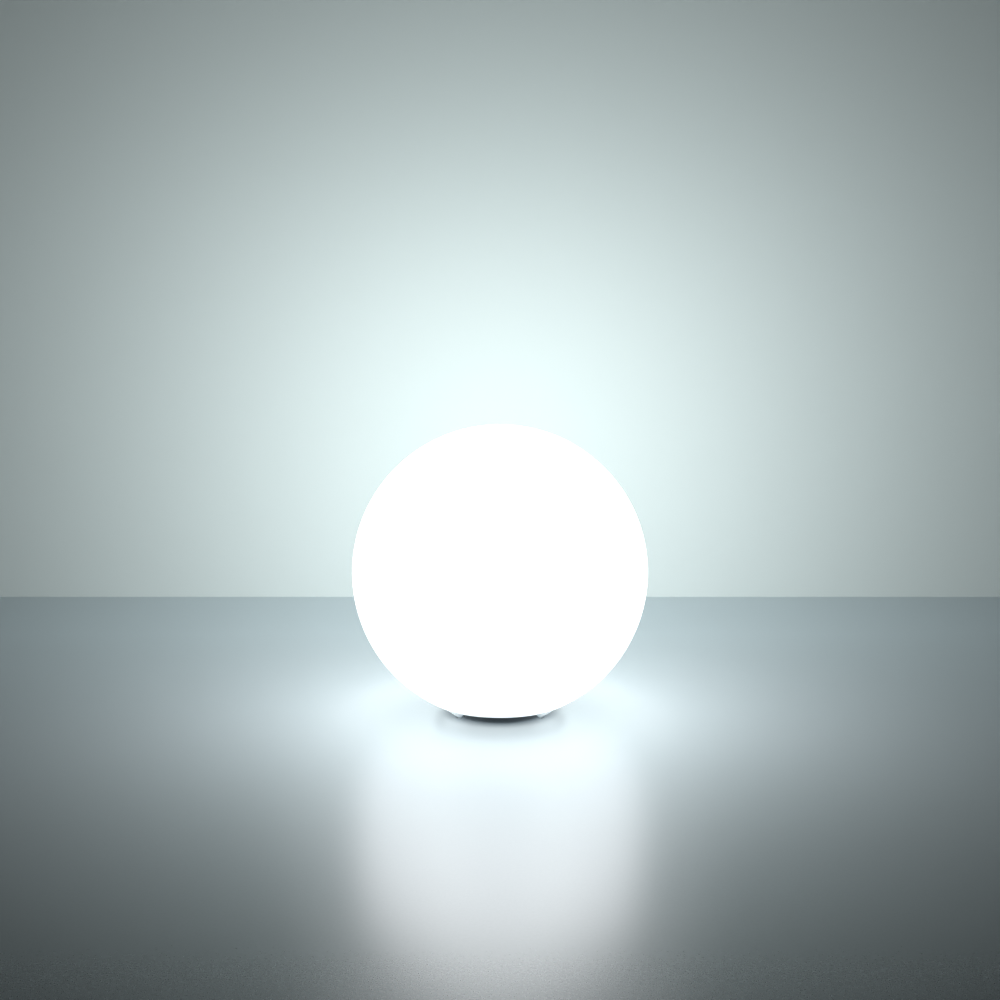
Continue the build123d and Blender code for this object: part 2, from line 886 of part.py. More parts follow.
def dome_screws():
    return copies(
        lambda angle: pan_screw(polar(boss_circle, angle), dome_shoulder, **dome_screw),
        plate_screw_angles,
    )


def led_leads():
    """Two leads from the second connector up through the deck to the LED board."""
    x, y = connector_xs[0], connector_y
    hole_x, hole_y = lead_hole

    def lead(side):
        shift = 1.0 * side
        return wire(
            [
                (x + shift, y, board_top + 1.4),
                (x + shift, y, board_top + connector_height + 3),
                (hole_x + shift, hole_y, cell_z + 3),
                (hole_x + shift, hole_y, deck_bottom),
                (hole_x + shift, hole_y - 0.3, led_board_top + 0.3),
            ],
            0.7,
        )

    return copies(lead, (-1, 1))


# ---- write one file for each sub-part ----------------------------------------------------
nodes = [
    globe_shell, neck_ring, neck_gasket, neck_screws, globe_seal,
    base_housing, base_plate, plate_gasket, plate_screws, ballast_ring,
    feet, foot_pads, foot_screws,
    power_button, button_clip, button_spring, button_seal, tact_switch, switch_plunger,
    port_stopper, port_seal, charge_jack, jack_pin, charge_led, charge_light_pipe,
    control_board, board_components, board_connectors, board_screws,
    battery_cells, battery_tabs, battery_cradle, battery_strap, strap_screws, battery_leads,
    heat_spreader, spreader_screws, thermal_pad, led_board, led_board_screws,
    led_emitters, led_lenses, ir_receiver, reflector, dome_gasket, diffuser_dome, dome_screws,
    led_leads,
]

os.makedirs("parts", exist_ok=True)
for node in nodes:
    export_step(node(), f"parts/{node.__name__}.step")
print(len(nodes), "sub-parts; globe centre at", round(globe_centre, 2), "deck top at", deck_top)
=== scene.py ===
import json
import math

import bpy
import numpy as np
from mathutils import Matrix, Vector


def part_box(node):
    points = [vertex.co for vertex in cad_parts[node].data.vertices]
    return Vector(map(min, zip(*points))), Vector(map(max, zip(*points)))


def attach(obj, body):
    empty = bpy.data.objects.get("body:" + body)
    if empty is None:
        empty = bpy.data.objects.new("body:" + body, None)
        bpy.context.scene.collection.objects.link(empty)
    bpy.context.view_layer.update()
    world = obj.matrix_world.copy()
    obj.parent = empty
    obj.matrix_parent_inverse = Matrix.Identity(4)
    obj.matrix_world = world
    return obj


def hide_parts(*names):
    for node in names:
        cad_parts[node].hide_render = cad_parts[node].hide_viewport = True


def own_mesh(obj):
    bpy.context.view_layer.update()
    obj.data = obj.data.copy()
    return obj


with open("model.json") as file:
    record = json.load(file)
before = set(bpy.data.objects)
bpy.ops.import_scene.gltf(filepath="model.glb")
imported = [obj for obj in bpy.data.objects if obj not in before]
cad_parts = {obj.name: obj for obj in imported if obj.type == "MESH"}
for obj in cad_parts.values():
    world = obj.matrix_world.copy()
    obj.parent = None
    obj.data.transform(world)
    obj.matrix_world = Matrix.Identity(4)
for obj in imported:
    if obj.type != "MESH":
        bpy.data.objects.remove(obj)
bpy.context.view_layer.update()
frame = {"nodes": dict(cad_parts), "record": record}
nodes = frame["nodes"]
mm = 0.001

shellLow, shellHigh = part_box("globe_shell")
globeRadius = (shellHigh.x - shellLow.x) / 2
floorOfGlobe = shellLow.z
globeCentre = shellHigh.z - globeRadius


class Wire:
    # One socket's value. An expression on wires and numbers adds the Math nodes that work it out.
    def __init__(self, finish, socket):
        self.finish = finish
        self.socket = socket

    def maths(self, operation, *values):
        return self.finish.node("ShaderNodeMath", {"operation": operation}, dict(enumerate(values)))

    def __add__(self, other):
        return self.maths("ADD", self, other)

    def __radd__(self, other):
        return self.maths("ADD", other, self)

    def __sub__(self, other):
        return self.maths("SUBTRACT", self, other)

    def __rsub__(self, other):
        return self.maths("SUBTRACT", other, self)

    def __mul__(self, other):
        return self.maths("MULTIPLY", self, other)

    def __rmul__(self, other):
        return self.maths("MULTIPLY", other, self)

    def __pow__(self, other):
        return self.maths("POWER", self, other)

    def rise(self, low, high):  # 0 below low, 1 above high, an S-curve between; high may be the lower one
        return self.finish.node(
            "ShaderNodeMapRange",
            {"interpolation_type": "SMOOTHSTEP"},
            {"Value": self, "From Min": low, "From Max": high},
        )

    def absolute(self):
        return self.maths("ABSOLUTE", self)


class Finish:
    # One material: a Principled shader, the nodes that vary it, and the object's own coordinates.
    def __init__(self, name, **constants):
        self.material = bpy.data.materials.new(name)
        self.material.use_nodes = True
        self.tree = self.material.node_tree
        self.tree.nodes.clear()
        self.output = self.tree.nodes.new("ShaderNodeOutputMaterial")
        self.shader = self.tree.nodes.new("ShaderNodeBsdfPrincipled")
        self.tree.links.new(self.shader.outputs[0], self.output.inputs[0])
        self.place = self.node("ShaderNodeTexCoord", {}, {}, "Object")
        for socket, value in constants.items():
            self.set(socket.replace("_", " "), value)

    def node(self, kind, settings, values, output=0):
        made = self.tree.nodes.new(kind)
        for key, value in settings.items():
            setattr(made, key, value)
        for key, value in values.items():
            self.feed(made.inputs[key], value)
        return Wire(self, made.outputs[output])

    def feed(self, socket, value):
        if isinstance(value, Wire):
            self.tree.links.new(value.socket, socket)
        elif socket.type == "RGBA" and len(value) == 3:
            socket.default_value = (*value, 1)
        else:
            socket.default_value = value

    def set(self, socket, value):
        self.feed(self.shader.inputs[socket], value)

    def axes(self):
        split = self.node("ShaderNodeSeparateXYZ", {}, {"Vector": self.place})
        outputs = split.socket.node.outputs
        return [Wire(self, outputs[i]) for i in range(3)]

    def fromAxis(self):  # distance from the Z axis
        x, y = self.axes()[:2]
        return (x * x + y * y) ** 0.5

    def noise(self, scale, detail=3.0, rough=0.5, place=None):
        values = {"Vector": place or self.place, "Scale": scale, "Detail": detail, "Roughness": rough}
        return self.node("ShaderNodeTexNoise", {}, values)

    def stretched(self, scale):
        return self.node("ShaderNodeMapping", {}, {"Vector": self.place, "Scale": scale})

    def mix(self, factor, first, second):
        # a colour Mix has its factor at 0, its colours at 6 and 7, and its result at 2
        return self.node("ShaderNodeMix", {"data_type": "RGBA"}, {0: factor, 6: first, 7: second}, 2)

    def bump(self, height, strength, distance):
        values = {"Height": height, "Strength": strength, "Distance": distance}
        self.set("Normal", self.node("ShaderNodeBump", {}, values))


def moulded(name, tones, grain, roughness, bump=0.1, **constants):
    # Moulded plastic or rubber: cloudy tone, spark-eroded grain in roughness and bump.
    finish = Finish(name, **constants)
    cloud = finish.noise(grain / 14, 3).rise(0.3, 0.7)
    fine = finish.noise(grain, 2, 0.6)
    finish.set("Base Color", finish.mix(cloud, *tones))
    finish.set("Roughness", fine * 0.14 + (roughness - 0.07))
    finish.bump(fine, bump, 0.2 * mm)
    return finish


def metal(name, tones, roughness, stretch=(1, 1, 1), scale=900.0, **constants):
    # Rolled or turned metal: noise drawn out along the grain, in colour, roughness and bump.
    finish = Finish(name, Metallic=1.0, **constants)
    grain = finish.noise(scale, 4, 0.6, finish.stretched(stretch))
    stain = finish.noise(60, 3).rise(0.35, 0.7)
    finish.set("Base Color", finish.mix(grain * 0.5 + stain * 0.5, *tones))
    finish.set("Roughness", grain * 0.22 + stain * 0.08 + (roughness - 0.15))
    finish.bump(grain, 0.12, 0.05 * mm)
    return finish


globeGlow = {
    "core": (1.0, 1.0, 1.0),
    "foot": (0.235, 0.262, 0.266),         # dimmer low on the globe, near its rim
    "under": (0.010, 0.014, 0.018),        # the flat floor, over the opaque neck
    "strength": 3.7,
    "brightFrom": 0.165,                   # height where it has come up to full
    "paintedShadeTone": (0.035, 0.042, 0.048),     # painted shade: the flat floor's plastic coloured near-black
    "partingLine": (0.5 * mm, 0.15 * mm),  # its soft edge and its core, to each side of the middle
    "rim": (0.3 * mm, 2.6 * mm),           # heights over the flat floor between which the glow comes in
}


def litPolyethylene():
    finish = Finish(
        "lit_polyethylene",
        Emission_Strength=globeGlow["strength"],
        Coat_Weight=0.35,
        Coat_Roughness=0.12,
        Coat_IOR=1.5,
    )
    z = finish.axes()[2]
    wall = finish.noise(9, 4, 0.55)   # wall thickness drifts as the mould turns
    speckle = finish.noise(700, 2, 0.6)
    lift = z.rise(floorOfGlobe - 0.002, globeGlow["brightFrom"])
    tone = finish.mix(lift, globeGlow["foot"], globeGlow["core"])
    tone = finish.mix(wall.rise(0.35, 0.75) * 0.035, tone, (0.93, 0.965, 0.985))
    line = (z - globeCentre).absolute().rise(*globeGlow["partingLine"])
    tone = finish.mix(line * 0.10, tone, (0.80, 0.85, 0.87))
    lit = z.rise(*(floorOfGlobe + over for over in globeGlow["rim"]))
    finish.set("Emission Color", finish.mix(lit, globeGlow["under"], tone))
    skin = finish.mix(wall, (0.80, 0.82, 0.83), (0.86, 0.875, 0.88))
    # painted shade: below the rim the plastic's base colour is near-black
    finish.set("Base Color", finish.mix(lit, globeGlow["paintedShadeTone"], skin))
    finish.set("Roughness", speckle * 0.2 + 0.32)
    finish.bump(speckle * 0.6 + wall * 0.4 + line, 0.08, 0.15 * mm)
    return finish


# Silicone that glows as painted light, dim at its sole and bright near the globe, standing in for the
# globe's light passing into it.
def paintedGlowSilicone(name, glow, tones):
    finish = Finish(
        name,
        Subsurface_Weight=0.55,
        Subsurface_Radius=(0.006, 0.007, 0.008),
        Subsurface_Scale=1.0,
        Emission_Strength=glow,
        Specular_IOR_Level=0.45,
    )
    z = finish.axes()[2]
    cloud = finish.noise(120, 3)
    grain = finish.noise(2600, 2, 0.6)
    finish.set("Base Color", finish.mix(cloud, *tones))
    # painted light: the glow rises from the sole up towards the globe
    top = z.rise(0.001, 0.012)
    finish.set("Emission Color", finish.mix(top, (0.42, 0.50, 0.53), (0.92, 0.98, 1.0)))
    finish.set("Roughness", grain * 0.18 + 0.30)
    finish.bump(grain, 0.12, 0.1 * mm)
    return finish


def frostedDiffuser():
    finish = Finish("frosted_diffuser", Emission_Strength=0.95, Coat_Weight=0.25, Coat_Roughness=0.2)
    z = finish.axes()[2]
    low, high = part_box("diffuser_dome")
    grain = finish.noise(1800, 2, 0.6)
    crown = z.rise(low.z + 0.002, high.z - 0.004)
    glow = finish.mix(crown, (0.24, 0.28, 0.30), (0.70, 0.75, 0.76))
    outerEmitters = 21.5 * mm   # their ring shows through
    spot = (finish.fromAxis() - outerEmitters).absolute().rise(0.012, 0.0)
    glow = finish.mix(spot * 0.5, glow, (0.95, 0.99, 1.0))
    flange = z.rise(low.z + 2.0 * mm, low.z + 4.0 * mm)
    finish.set("Emission Color", finish.mix(flange, (0.10, 0.12, 0.13), glow))
    finish.set("Base Color", finish.mix(finish.noise(60, 3), (0.84, 0.86, 0.87), (0.90, 0.91, 0.92)))
    finish.set("Roughness", grain * 0.2 + 0.38)
    finish.bump(grain, 0.15, 0.1 * mm)
    return finish


def solderMask(name, tones, roughness):
    # Circuit board: mask over a grid of copper runs.
    finish = Finish(name, Coat_Weight=0.3, Coat_Roughness=0.2)
    runs = finish.node(
        "ShaderNodeTexBrick",
        {"offset": 0.35, "squash": 1.6, "squash_frequency": 3},
        {
            "Vector": finish.place,
            "Scale": 240.0,
            "Mortar Size": 0.03,
            "Mortar Smooth": 0.2,
            "Color1": (0, 0, 0),
            "Color2": (0.35, 0.35, 0.35),
            "Mortar": (1, 1, 1),
        },
    )
    weave = finish.noise(1500, 2)
    finish.set("Base Color", finish.mix(runs * 0.6 + weave * 0.15, *tones))
    finish.set("Roughness", weave * 0.15 + roughness)
    finish.bump(runs, 0.15, 0.05 * mm)
    return finish


def shrinkWrap():
    # Blue film on a cell that lies along X, with bare steel at both ends.
    finish = Finish("shrink_wrap", Coat_Weight=0.4, Coat_Roughness=0.15)
    x = finish.axes()[0]
    ends = x.absolute().rise(30.5 * mm, 32.0 * mm)
    ripple = finish.noise(90, 3, place=finish.stretched((1, 4, 4)))
    wrap = finish.mix(ripple, (0.03, 0.13, 0.33), (0.05, 0.19, 0.42))
    finish.set("Base Color", finish.mix(ends, wrap, (0.56, 0.55, 0.52)))
    finish.set("Metallic", ends)
    finish.set("Roughness", ripple * 0.15 + 0.22)
    finish.bump(ripple, 0.15, 0.1 * mm)
    return finish


def phosphor():
    finish = Finish("phosphor", Emission_Strength=2.2, Subsurface_Weight=0.2, Subsurface_Radius=(0.002,) * 3)
    grain = finish.noise(2200, 3, 0.7)
    finish.set("Base Color", finish.mix(grain, (0.80, 0.66, 0.22), (0.90, 0.80, 0.36)))
    finish.set("Emission Color", finish.mix(grain, (0.90, 0.95, 1.0), (1.0, 1.0, 0.98)))
    finish.set("Roughness", grain * 0.2 + 0.25)
    return finish


def clearAcrylic():
    finish = Finish("clear_acrylic", Transmission_Weight=0.85, IOR=1.49)
    haze = finish.noise(500, 3)
    finish.set("Base Color", finish.mix(haze, (0.86, 0.92, 0.93), (0.94, 0.97, 0.98)))
    finish.set("Roughness", haze * 0.15 + 0.05)
    return finish


def greys(low, high):
    return (low, low, low * 1.03), (high, high, high * 1.02)


finishes = {
    "globe_plastic": litPolyethylene(),
    "module_plastic": moulded(
        "module_abs", ((0.855, 0.868, 0.872), (0.885, 0.895, 0.90)), 2200, 0.36, 0.14, Coat_Weight=0.08
    ),
    "diffuser_plastic": frostedDiffuser(),
    "foot_silicone": paintedGlowSilicone("foot_silicone", 0.55, ((0.80, 0.84, 0.85), (0.88, 0.905, 0.91))),
    "pad_silicone": paintedGlowSilicone("pad_silicone", 0.12, ((0.62, 0.66, 0.67), (0.72, 0.75, 0.76))),
    "gasket_rubber": moulded("gasket_silicone", greys(0.035, 0.06), 1400, 0.55),
    "button_plastic": moulded("soft_touch", greys(0.52, 0.60), 2400, 0.5),
    "stopper_rubber": moulded("stopper_silicone", greys(0.26, 0.34), 1500, 0.55),
    "screw_steel": metal("stainless", greys(0.52, 0.68), 0.32, (1, 1, 0.2), 1600),
    "spring_steel": metal("spring_wire", greys(0.55, 0.72), 0.25, (1, 1, 0.2), 1600),
    "dull_steel": metal("stainless_strip", greys(0.45, 0.60), 0.36, (1, 0.06, 0.06), 1200),
    "ballast_steel": metal("zinc_plate", ((0.40, 0.42, 0.46), (0.56, 0.57, 0.60)), 0.42),
    "spreader_aluminium": metal("turned_aluminium", greys(0.66, 0.80), 0.34, (1, 0.08, 1), 700),
    "nickel": metal("nickel_strip", ((0.58, 0.56, 0.52), (0.72, 0.70, 0.66)), 0.24, (1, 0.1, 1)),
    "board_green": solderMask("green_mask", ((0.012, 0.085, 0.035), (0.05, 0.22, 0.09)), 0.30),
    "board_white": solderMask("white_mask", ((0.80, 0.80, 0.78), (0.66, 0.67, 0.66)), 0.38),
    "chip_black": moulded("moulded_epoxy", greys(0.012, 0.022), 2600, 0.42),
    "connector_plastic": moulded("cream_nylon", ((0.66, 0.62, 0.50), (0.74, 0.70, 0.58)), 1800, 0.45),
    "cell_wrap": shrinkWrap(),
    "cradle_plastic": moulded("black_nylon", greys(0.018, 0.030), 1800, 0.48),
    "lead_insulation": moulded("lead_silicone", ((0.42, 0.015, 0.012), (0.52, 0.03, 0.02)), 900, 0.40),
    "emitter_plastic": moulded("white_package", greys(0.80, 0.86), 2400, 0.35),
    "phosphor": phosphor(),
    "light_pipe_plastic": clearAcrylic(),
    "pad_thermal": moulded("filled_silicone", ((0.34, 0.38, 0.46), (0.42, 0.46, 0.53)), 1600, 0.65),
    "infrared_plastic": moulded(
        "infrared_epoxy", ((0.020, 0.006, 0.008), (0.035, 0.012, 0.014)), 900, 0.12, 0.02, Coat_Weight=0.6
    ),
    "reflector_plastic": moulded("reflector_white", greys(0.86, 0.90), 1500, 0.25),
}
slotOf = {part["node"]: part["material_slot"] for part in frame["record"]["subparts"]}
for name, node in nodes.items():
    for holder in node.material_slots:
        holder.material = finishes[slotOf[name]].material
print("finishes:", len(finishes), "on", len(nodes), "nodes")


def netFaces(rows, columns):
    # Faces of a grid of points, row by row, each row closed on itself.
    row, column = np.meshgrid(np.arange(rows - 1), np.arange(columns), indexing="ij")
    this, after = row * columns + column, row * columns + (column + 1) % columns
    return np.stack([this, after, after + columns, this + columns], axis=-1).reshape(-1, 4)


def fanFaces(pole, ring):
    # Triangles that close a ring of points onto one point.
    return np.stack([np.full_like(ring, pole), ring, np.roll(ring, -1)], axis=-1)


def addPiece(name, points, faces, finish, body, replaced):
    # faces is a list of arrays, each of faces with one number of corners
    mesh = bpy.data.meshes.new(name)
    mesh.from_pydata(points.tolist(), [], [face for group in faces for face in group.tolist()])
    mesh.validate()
    mesh.polygons.foreach_set("use_smooth", np.ones(len(mesh.polygons), dtype=bool))
    mesh.materials.append(finishes[finish].material)
    piece = bpy.data.objects.new(name, mesh)
    bpy.context.scene.collection.objects.link(piece)
    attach(piece, body)
    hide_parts(*replaced)
    return piece


def turnedPoints(profile, angles):
    # A profile of (radius, height) pairs carried round the Z axis: x = r cos a, y = r sin a.
    radius = profile[:, :1]
    height = np.broadcast_to(profile[:, 1:], (len(profile), len(angles)))
    return np.stack([radius * np.cos(angles), radius * np.sin(angles), height], axis=-1)


# The globe: a moulded shell with a flat floor and six countersunk screws round its opening.
globeSkin = {
    "wall": 3.0 * mm,
    "rimRound": 2.5 * mm,
    "opening": 57.0 * mm,
    "screwCircle": 61.5 * mm,
    "screwHead": 3.05 * mm,
    "screwShank": 1.55 * mm,
    "screwDepth": 1.7 * mm,
    "screws": 6,
    "crowding": 0.145,        # how far columns move towards the screws
    "poleGap": 0.004,         # angle from the top where the closing fan starts
    "columns": 432,
    "outerRows": 96,
    "rimRows": 9,
    "flatRows": 26,
    "backRows": 10,
    "innerRows": 64,
}


def buildGlobe(spec):
    # A profile turned about Z. Its columns stand at a - k sin(6a), which crowds them at the six screws.
    columns, screws = spec["columns"], spec["screws"]
    even = np.arange(columns) * 2 * math.pi / columns
    angles = even - spec["crowding"] * np.sin(screws * even)
    centre = globeCentre
    top = math.pi / 2 - spec["poleGap"]
    # The rim's rounding: a circle that touches the floor plane and the sphere from inside.
    rimRound = spec["rimRound"]
    drop = centre - floorOfGlobe - rimRound
    rimRadius = math.sqrt((globeRadius - rimRound) ** 2 - drop**2)
    touch = math.atan2(-drop, rimRadius)
    outer = np.linspace(top, touch, spec["outerRows"])
    outerArc = np.stack([globeRadius * np.cos(outer), centre + globeRadius * np.sin(outer)], axis=-1)
    turn = np.linspace(touch, -math.pi / 2, spec["rimRows"])[1:]
    rimArc = np.stack(
        [rimRadius + rimRound * np.cos(turn), floorOfGlobe + rimRound + rimRound * np.sin(turn)], axis=-1
    )
    flat = np.linspace(rimRadius, spec["opening"], spec["flatRows"])[1:]
    flatLine = np.stack([flat, np.full_like(flat, floorOfGlobe)], axis=-1)
    innerFloor = floorOfGlobe + spec["wall"]
    innerRadius = globeRadius - spec["wall"]
    innerFlat = math.sqrt(innerRadius**2 - (centre - innerFloor) ** 2)
    back = np.linspace(spec["opening"], innerFlat, spec["backRows"])
    backLine = np.stack([back, np.full_like(back, innerFloor)], axis=-1)
    inner = np.linspace(math.atan2(innerFloor - centre, innerFlat), top, spec["innerRows"])[1:]
    innerArc = np.stack([innerRadius * np.cos(inner), centre + innerRadius * np.sin(inner)], axis=-1)
    profile = np.concatenate([outerArc, rimArc, flatLine, backLine, innerArc])
    points = turnedPoints(profile, angles)
    # Countersinks: on the floor, height rises as a cone towards each screw's axis.
    first = len(outerArc) + len(rimArc)
    floor = points[first : first + len(flatLine)]
    screwAngles = np.arange(screws) * 2 * math.pi / screws
    screwX, screwY = (spec["screwCircle"] * wave(screwAngles) for wave in (np.cos, np.sin))
    away = np.hypot(floor[..., :1] - screwX, floor[..., 1:2] - screwY).min(axis=-1)
    slope = spec["screwDepth"] / (spec["screwHead"] - spec["screwShank"])
    floor[..., 2] += np.clip((spec["screwHead"] - away) * slope, 0, spec["screwDepth"])
    poles = [[0, 0, centre + globeRadius], [0, 0, centre + innerRadius]]
    total, ring = len(profile) * columns, np.arange(columns)
    faces = [
        netFaces(len(profile), columns)[:, ::-1],
        fanFaces(total, ring),
        fanFaces(total + 1, total - columns + ring)[:, ::-1],
    ]
    allPoints = np.concatenate([points.reshape(-1, 3), poles])
    return addPiece("globe_skin", allPoints, faces, "globe_plastic", "globe", ["globe_shell"])


globe = buildGlobe(globeSkin)
print("globe:", len(globe.data.polygons), "faces")

# The feet: buttresses with a small sole, leaning out to just inside the globe's rim.
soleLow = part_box("feet")[0]
footForm = {
    "angles": (-30.0, 90.0, 210.0),
    "middle": 49.3 * mm,
    "soleInner": 47.5 * mm,
    "soleOuter": 51.1 * mm,
    "soleLength": 11.2 * mm,
    "rootInner": 42.6 * mm,
    "rootOuter": 63.4 * mm,
    "rootLength": 25.8 * mm,
    "edge": 0.7 * mm,         # rounding of the sole's edge
    "bulge": 0.82,            # under 1 the flanks swell as they leave the sole
    "squareness": 4.2,
    "clear": 0.25 * mm,       # gap under the globe's floor
    "crowding": 1.4,          # over 1, rows lie closer near the sole
    "columns": 96,
    "rows": 40,
}


def buildFeet(spec):
    # Ring by ring from the sole up, each a superellipse bent round the circle that the feet stand on.
    # Its sides move from the sole's to the root's with the height to a power, and near the sole they
    # draw in by a quarter circle.
    columns = spec["columns"]
    turn = np.arange(columns) * 2 * math.pi / columns
    power = 2 / spec["squareness"]
    across, along = (np.sign(wave) * np.abs(wave) ** power for wave in (np.cos(turn), np.sin(turn)))
    rise = np.linspace(0, 1, spec["rows"]) ** spec["crowding"]
    top = floorOfGlobe - spec["clear"]
    height = soleLow.z + (top - soleLow.z) * rise
    swell = rise ** spec["bulge"]
    edge = spec["edge"]
    near = np.clip(edge - (height - soleLow.z), 0, None)
    tuck = edge - np.sqrt(edge**2 - near**2)
    inner = spec["soleInner"] + (spec["rootInner"] - spec["soleInner"]) * swell + tuck
    outer = spec["soleOuter"] + (spec["rootOuter"] - spec["soleOuter"]) * swell - tuck
    halfLength = (spec["soleLength"] + (spec["rootLength"] - spec["soleLength"]) * swell) / 2 - tuck
    radius = ((outer + inner) / 2)[:, None] + ((outer - inner) / 2)[:, None] * across
    bend = halfLength[:, None] * along / spec["middle"]
    level = np.broadcast_to(height[:, None], radius.shape)
    total, around = spec["rows"] * columns, np.arange(columns)
    oneFoot = [
        netFaces(spec["rows"], columns),
        fanFaces(total, around)[:, ::-1],
        fanFaces(total + 1, total - columns + around),
    ]
    pieces, faces = [], []
    for number, angle in enumerate(np.radians(spec["angles"])):
        ring = np.stack([radius * np.cos(angle + bend), radius * np.sin(angle + bend), level], axis=-1)
        soleMiddle, rootMiddle = (ring[row].mean(axis=0) for row in (0, -1))
        pieces.append(np.concatenate([ring.reshape(-1, 3), [soleMiddle, rootMiddle]]))
        faces += [group + number * len(pieces[0]) for group in oneFoot]
    return addPiece("foot_nubs", np.concatenate(pieces), faces, "foot_silicone", "base", ["feet"])


feet = buildFeet(footForm)
print("feet:", len(feet.data.polygons), "faces")

# The button's return spring: round wire whose end turns close up.
springForm = {
    "wire": 0.25 * mm,
    "turns": 4.25,
    "closed": 0.75,          # turns at each end that lie on the next
    "lay": 2.04,             # climb of a closed turn, in wire radii
    "steps": 204,
    "around": 12,
}


def buildSpring(spec):
    # A helix x = R cos a, y = R sin a, which climbs a wire's width a turn at its ends and faster between,
    # with a circle carried along it on the outward and upward directions.
    low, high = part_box("button_spring")
    wire, turns, closed, sides = spec["wire"], spec["turns"], spec["closed"], spec["around"]
    ring = (high.x - low.x) / 2 - wire
    climb = high.z - low.z - 2 * wire
    end = closed * spec["lay"] * wire
    turn = np.linspace(0, turns, spec["steps"])
    level = low.z + wire + np.interp(turn, [0, closed, turns - closed, turns], [0, end, climb - end, climb])
    angle = 2 * math.pi * turn
    section = np.arange(sides) * 2 * math.pi / sides
    radius = ring + wire * np.cos(section)
    middleX, middleY = (low.x + high.x) / 2, (low.y + high.y) / 2
    points = np.stack(
        [
            middleX + radius * np.cos(angle)[:, None],
            middleY + radius * np.sin(angle)[:, None],
            level[:, None] + wire * np.sin(section),
        ],
        axis=-1,
    )
    total, around = spec["steps"] * sides, np.arange(sides)
    faces = [
        netFaces(spec["steps"], sides)[:, ::-1],
        fanFaces(total, around),
        fanFaces(total + 1, total - sides + around)[:, ::-1],
    ]
    ends = [points[0].mean(axis=0), points[-1].mean(axis=0)]
    allPoints = np.concatenate([points.reshape(-1, 3), ends])
    piece = addPiece("button_coil", allPoints, faces, "spring_steel", "base", ["button_spring"])
    joints = frame["record"]["behaviour"]["joints"]
    press = next(joint for joint in joints if joint["name"] == "button_press")
    keep = 1 - press["range_m"][1] / (high.z - low.z)
    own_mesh(piece)
    return piece


spring = buildSpring(springForm)
print("spring:", len(spring.data.polygons), "faces")

# The lamps stand in for the whole glowing globe, so only the narrow inner pieces shade the floor.
clearOfLight = (
    "neck_ring", "neck_gasket", "neck_screws", "globe_seal", "base_housing", "base_plate", "plate_gasket",
    "plate_screws", "foot_pads", "heat_spreader", "spreader_screws", "reflector", "dome_gasket",
    "diffuser_dome", "dome_screws",
)
for piece in [globe, feet] + [nodes[name] for name in clearOfLight]:
    piece.visible_shadow = False

# The room: a polished board with painted reflection, brighter towards the wall, duller round the feet, with
# a painted shadow between them, and a matt wall painted darker towards the floor.
room = {
    "wallBehind": 0.58,
    "halfWidth": 6.0,
    "depth": 6.0,
    "height": 5.0,
    "wallTone": ((0.595, 0.665, 0.661), (0.680, 0.758, 0.753)),   # at the floor, and at wallPale; painted darker towards the floor as painted shade
    "wallPale": 0.6,
    "floorTone": ((0.145, 0.157, 0.163), (0.645, 0.695, 0.735)),   # in front, and near the wall; painted brighter towards the wall as painted reflection
    "floorMetal": (0.68, 0.90),
    "paintedReflectionFrom": -0.62,            # y where the floor's painted reflection starts to brighten, and how fast
    "paintedReflectionRate": 1.03,
    "mattRing": (0.200, 0.068),     # duller and darker floor in a ring round the feet, set so the lamp's light and shadow show there
    "mattTone": (0.178, 0.192, 0.202),
    "paintedShadowRing": (0.066, 0.040),      # painted shadow: darker still between the feet
    "paintedShadowTone": (0.030, 0.042, 0.052),
    "mattMetal": 0.42,
    "floorRoughness": (0.27, 0.37),
    "softerBetween": (-0.62, -0.25),
    "sky": (0.29, 0.335, 0.335),
    "skyStrength": 0.08,
}


def addStage(name, corners, finish):
    mesh = bpy.data.meshes.new(name)
    mesh.from_pydata(corners, [], [(0, 1, 2, 3)])
    mesh.materials.append(finish.material)
    stage = bpy.data.objects.new(name, mesh)
    bpy.context.scene.collection.objects.link(stage)
    return stage


def satinFloor():
    # Polished board with painted reflection: its colour and metal are painted brighter and more like a
    # mirror the further it lies behind the globe.
    finish = Finish("satin_floor")
    y = finish.axes()[1]
    cloud = finish.noise(2.2, 4)
    grain = finish.noise(420, 3, 0.6)
    # painted reflection: colour and metal rise with y, so the floor's reflections brighten towards the wall
    paintedReflection = (y - room["paintedReflectionFrom"]) * room["paintedReflectionRate"] + (cloud + grain - 1.0) * 0.06
    low, high = room["floorMetal"]
    radius = finish.fromAxis()
    matt = radius.rise(*room["mattRing"])
    # the ring's tone, with a painted shadow, near-black, between the feet
    mattTone = finish.mix(radius.rise(*room["paintedShadowRing"]), room["mattTone"], room["paintedShadowTone"])
    shine = paintedReflection * (high - low) + low
    finish.set("Base Color", finish.mix(matt, finish.mix(paintedReflection, *room["floorTone"]), mattTone))
    finish.set("Metallic", shine - (shine - room["mattMetal"]) * matt)
    sharp, soft = room["floorRoughness"]
    softer = y.rise(*room["softerBetween"])
    finish.set("Roughness", softer * (soft - sharp) + grain * 0.04 + (sharp - 0.02))
    return finish


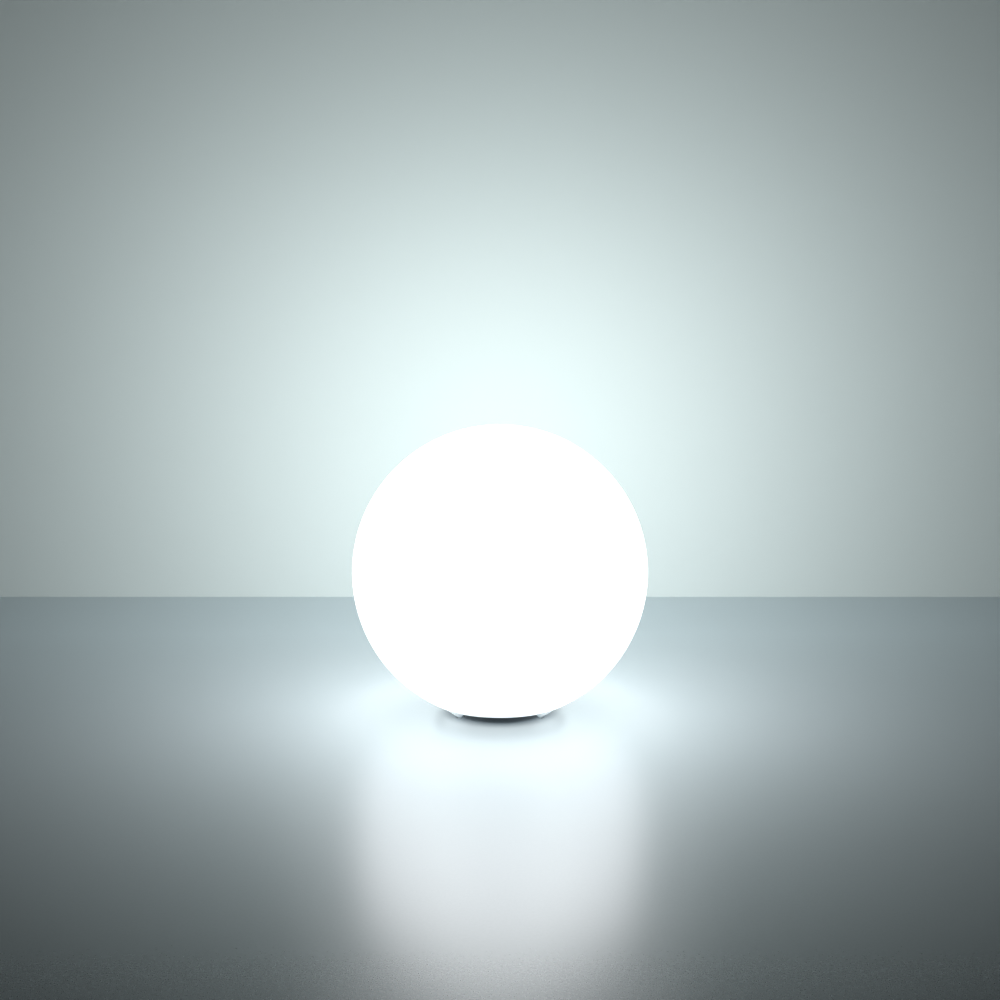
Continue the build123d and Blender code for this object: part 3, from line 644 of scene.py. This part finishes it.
def mattWall():
    finish = Finish("matt_wall")
    z = finish.axes()[2]
    cloud = finish.noise(2.2, 4)
    grain = finish.noise(300, 3, 0.6)
    # painted shade: the wall's colour is darker towards the floor
    pale = z.rise(0, room["wallPale"]) + (cloud + grain - 1.0) * 0.1
    finish.set("Base Color", finish.mix(pale, *room["wallTone"]))
    finish.set("Roughness", grain * 0.1 + 0.80)
    finish.bump(grain, 0.15, 0.4 * mm)
    # Seen from outside the room the wall isn't there.
    behind = finish.node("ShaderNodeNewGeometry", {}, {}, "Backfacing")
    clear = finish.node("ShaderNodeBsdfTransparent", {}, {})
    matt = Wire(finish, finish.shader.outputs[0])
    shown = finish.node("ShaderNodeMixShader", {}, {0: behind, 1: matt, 2: clear})
    finish.tree.links.new(shown.socket, finish.output.inputs[0])
    return finish


half, back, front, top = room["halfWidth"], room["wallBehind"], -room["depth"], room["height"]
floorCorners = [(-half, front, 0), (half, front, 0), (half, back, 0), (-half, back, 0)]
wallCorners = [(-half, back, 0), (half, back, 0), (half, back, top), (-half, back, top)]
floor = addStage("floor", floorCorners, satinFloor())
wall = addStage("wall", wallCorners, mattWall())

# The lamps and the glowing globe light the room alone, so the parts inside keep their shading.
roomOnly = bpy.data.collections.new("room_only")
for stage in (floor, wall):
    roomOnly.objects.link(stage)
globe.light_linking.receiver_collection = roomOnly
lamps = {   # gleams says whether the polished floor mirrors the lamp
    "glow": {"height": 0.205, "radius": 0.055, "power": 10.3, "colour": (0.93, 1.0, 1.0), "gleams": False},
    "gleam": {"height": 0.160, "radius": 0.030, "power": 0.55, "colour": (0.95, 1.0, 0.95), "gleams": True},
}
for name, spec in lamps.items():
    light = bpy.data.lights.new(name, "POINT")
    light.energy = spec["power"]
    light.color = spec["colour"]
    light.shadow_soft_size = spec["radius"]
    lamp = bpy.data.objects.new(name, light)
    lamp.location = (0, 0, spec["height"])
    lamp.visible_camera = False
    lamp.visible_glossy = spec["gleams"]
    lamp.light_linking.receiver_collection = roomOnly
    bpy.context.scene.collection.objects.link(lamp)
print("room: a floor, a wall and", len(lamps), "lamps")

world = bpy.data.worlds.new("dim_room")
world.use_nodes = True
sky = world.node_tree.nodes["Background"]
sky.inputs["Color"].default_value = (*room["sky"], 1)
sky.inputs["Strength"].default_value = room["skyStrength"]
bpy.context.scene.world = world

view = {
    "lens": 50.0,
    "sensor": 36.0,
    "distance": 1.420,
    "elevation": 10.6,
    "across": 500.0,   # where the globe's middle falls in a picture of 1000 by 1000
    "down": 571.6,
    "clip": (0.05, 40.0),
}


def placeCamera(spec):
    # The camera stands on a sphere about the globe's middle, and is tilted and turned until that
    # middle falls on the wanted point.
    data = bpy.data.cameras.new("camera")
    data.lens = spec["lens"]
    data.sensor_width = spec["sensor"]
    data.clip_start, data.clip_end = spec["clip"]
    camera = bpy.data.objects.new("camera", data)
    bpy.context.scene.collection.objects.link(camera)
    pitch = math.radians(spec["elevation"])
    reach = 1000 * spec["lens"] / spec["sensor"]
    away, over = spec["distance"] * math.cos(pitch), spec["distance"] * math.sin(pitch)
    camera.location = (0, -away, globeCentre + over)
    tilt = pitch - math.atan((spec["down"] - 500) / reach)
    turn = math.atan((spec["across"] - 500) / reach)
    camera.rotation_euler = (math.pi / 2 - tilt, 0, turn)
    bpy.context.scene.camera = camera


placeCamera(view)
bpy.context.scene.view_settings.view_transform = "Standard"
bpy.context.scene.view_settings.look = "None"

bpy.context.view_layer.update()
